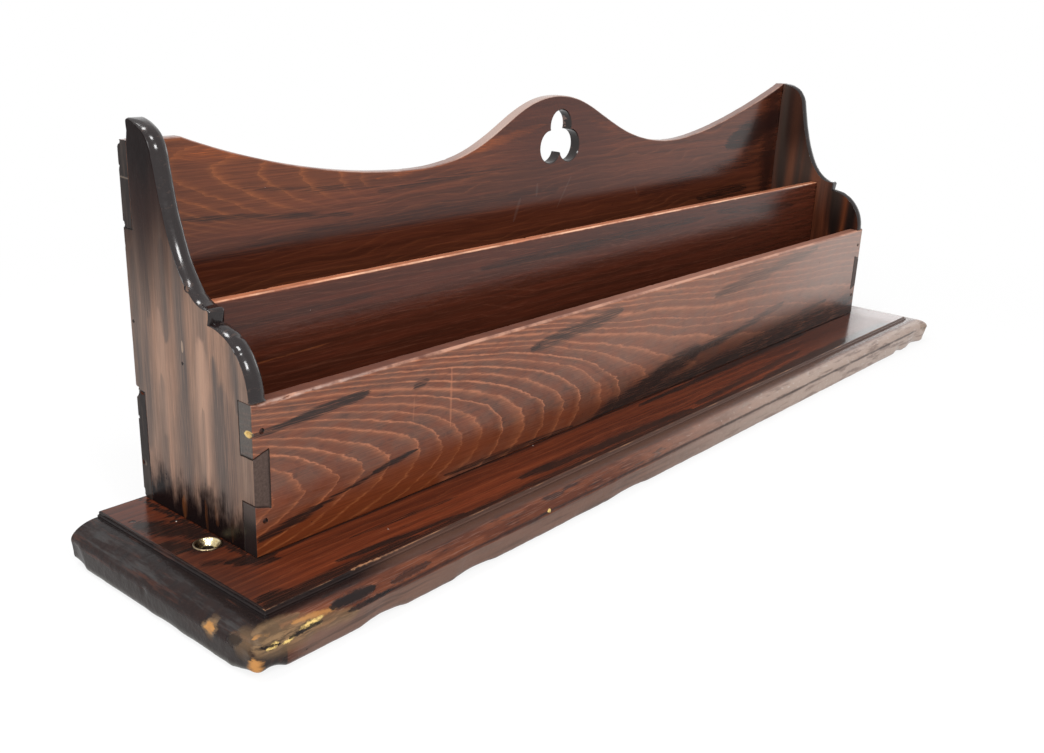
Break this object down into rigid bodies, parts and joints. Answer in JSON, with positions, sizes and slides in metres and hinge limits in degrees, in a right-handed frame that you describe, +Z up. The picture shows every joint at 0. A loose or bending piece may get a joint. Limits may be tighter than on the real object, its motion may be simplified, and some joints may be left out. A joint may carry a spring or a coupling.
{
  "type": "letter rack",
  "caption": "Long dovetailed desk letter rack with scrolled sides, a shaped and pierced back, a lower front, a divider and a moulded base board with brass screw cups.",
  "frame": {"origin": "middle of the rack's footprint, on the surface that it stands on", "axes": "+X along the rack to the right as seen from the front, +Y towards the back board, +Z up"},
  "size_m": [0.709, 0.1426, 0.2075],
  "materials": {
    "base_wood": "pine stained dark red-brown, glossy varnish, worn bare at the left front corner",
    "side_wood": "pine stained grey-brown with black streaks, glossy varnish",
    "front_wood": "flat-sawn pine with a flame figure, stained red-brown, glossy varnish",
    "back_wood": "pine with long grain, stained red-brown, glossy varnish",
    "divider_wood": "pine with long grain, stained dark red-brown, worn top edge",
    "brass": "bright turned brass with a tarnished rim",
    "iron": "dull dark iron"
  },
  "bodies": {
    "root": {"base_board": "base_wood", "left_side": "side_wood", "right_side": "side_wood", "front_board": "front_wood", "back_board": "back_wood", "divider": "divider_wood", "left_screw_cup": "brass", "right_screw_cup": "brass", "front_left_lower_pin": "iron", "front_left_upper_pin": "iron", "front_right_lower_pin": "iron", "front_right_upper_pin": "iron", "back_left_lower_pin": "iron", "back_left_upper_pin": "iron", "back_right_lower_pin": "iron", "back_right_upper_pin": "iron", "front_left_base_screw": "iron", "front_right_base_screw": "iron", "back_left_base_screw": "iron", "back_right_base_screw": "iron", "left_side_base_screw": "iron", "right_side_base_screw": "iron"}
  },
  "joints": []
}
